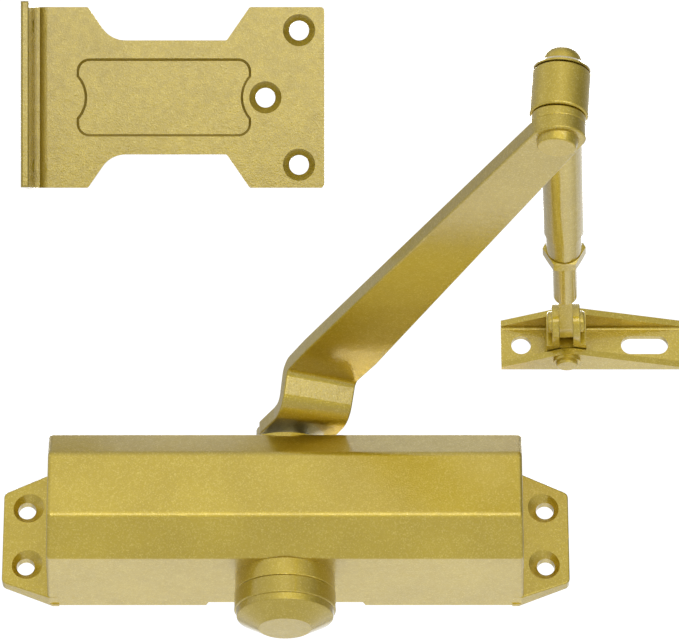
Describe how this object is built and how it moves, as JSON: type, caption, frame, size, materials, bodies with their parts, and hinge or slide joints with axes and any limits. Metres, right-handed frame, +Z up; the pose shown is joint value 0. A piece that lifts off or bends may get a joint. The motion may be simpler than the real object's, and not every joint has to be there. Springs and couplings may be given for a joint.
{
  "type": "door closer",
  "caption": "Surface-mounted hydraulic door closer with a chamfered cast body, a hinged double-lever arm with an adjustable rod and pivoting shoe, and a loose parallel-arm bracket.",
  "frame": {"origin": "centre of the four fixing holes, on the back face of the body", "axes": "+X along the body to the right as seen from the front, +Y into the door, +Z up along the spindle"},
  "size_m": [0.2108, 0.2117, 0.215],
  "materials": {
    "gold_casting": "glossy metallic gold paint on a die casting, light hammer texture",
    "gold_paint": "glossy metallic gold paint on steel",
    "zinc_steel": "bright zinc plate",
    "ground_steel": "turned and ground steel",
    "valve_brass": "turned brass",
    "spring_steel": "dark oil-tempered wire",
    "piston_iron": "machined iron",
    "seal_rubber": "matt black nitrile rubber"
  },
  "bodies": {
    "closer_body": {"housing": "gold_casting", "left_end_plug": "gold_casting", "right_end_plug": "gold_casting", "left_end_plug_seal": "seal_rubber", "right_end_plug_seal": "seal_rubber", "upper_bearing": "ground_steel", "lower_bearing": "ground_steel", "upper_shaft_seal": "seal_rubber", "lower_shaft_seal": "seal_rubber", "upper_gland_ring": "zinc_steel", "lower_gland_ring": "zinc_steel", "return_spring": "spring_steel"},
    "lever_arm": {"spindle": "ground_steel", "arm_seat_washer": "zinc_steel", "main_arm": "gold_paint", "arm_washer": "zinc_steel", "arm_screw": "zinc_steel", "elbow_rivet": "gold_paint", "elbow_collar": "gold_paint", "elbow_cap": "gold_paint"},
    "piston": {"piston": "piston_iron", "check_ball": "ground_steel", "check_ball_retainer": "ground_steel"},
    "cap": {"spindle_cap": "gold_casting"},
    "closing_valve": {"closing_speed_valve": "valve_brass", "closing_speed_valve_seal": "seal_rubber"},
    "latching_valve": {"latching_speed_valve": "valve_brass", "latching_speed_valve_seal": "seal_rubber"},
    "forearm": {"forearm": "gold_paint"},
    "rod": {"adjuster_rod": "gold_paint"},
    "locknut": {"locknut": "gold_paint"},
    "clevis": {"swivel_clevis": "gold_paint", "clevis_rivet": "gold_paint"},
    "shoe": {"shoe": "gold_paint", "shoe_pin": "gold_paint"},
    "bracket": {"parallel_arm_bracket": "gold_paint"}
  },
  "joints": [
    {"name": "arm_swing", "type": "hinge", "parent": "closer_body", "child": "lever_arm", "pos_m": [0, -0.022, 0.024], "axis": [0, 0, 1], "range_deg": [0, 165], "stiffness_Nm_per_rad": 4, "springref_deg": -85.94},
    {"name": "piston_travel", "type": "slide", "parent": "closer_body", "child": "piston", "axis": [1, 0, 0], "range_m": [0, 0.0227], "deforming": ["return_spring"]},
    {"name": "cap_removal", "type": "slide", "parent": "closer_body", "child": "cap", "axis": [0, 0, -1], "range_m": [0, 0.03]},
    {"name": "closing_valve_turn", "type": "hinge", "parent": "closer_body", "child": "closing_valve", "pos_m": [-0.064, -0.0086, 0.017], "axis": [-1, 0, 0], "range_deg": [-180, 360]},
    {"name": "latching_valve_turn", "type": "hinge", "parent": "closer_body", "child": "latching_valve", "pos_m": [-0.064, -0.0086, -0.017], "axis": [-1, 0, 0], "range_deg": [-180, 360]},
    {"name": "elbow", "type": "hinge", "parent": "lever_arm", "child": "forearm", "pos_m": [0.07838, -0.20344, 0.05], "axis": [0.0785, 0, 0.9969], "range_deg": [-140, 25]},
    {"name": "rod_adjustment", "type": "slide", "parent": "forearm", "child": "rod", "axis": [0.0531, 0.9986, 0], "range_m": [0, 0.02]},
    {"name": "locknut_turn", "type": "hinge", "parent": "rod", "child": "locknut", "pos_m": [0.08364, -0.10458, 0.05], "axis": [0.0531, 0.9986, 0], "range_deg": [-180, 180]},
    {"name": "clevis_tilt", "type": "hinge", "parent": "rod", "child": "clevis", "pos_m": [0.08624, -0.05565, 0.05], "axis": [0.9986, -0.0531, 0], "range_deg": [-15, 15]},
    {"name": "shoe_swivel", "type": "hinge", "parent": "clevis", "child": "shoe", "pos_m": [0.0868, -0.0451, 0.05], "axis": [0, 0, 1], "range_deg": [-70, 70]},
    {"name": "bracket_offered_up", "type": "slide", "parent": "closer_body", "child": "bracket", "axis": [0, -1, 0], "range_m": [0, 0.05]}
  ],
  "couplings": [
    {"joint": "piston_travel", "follows": "arm_swing", "m_per_rad": 0.007875}
  ]
}
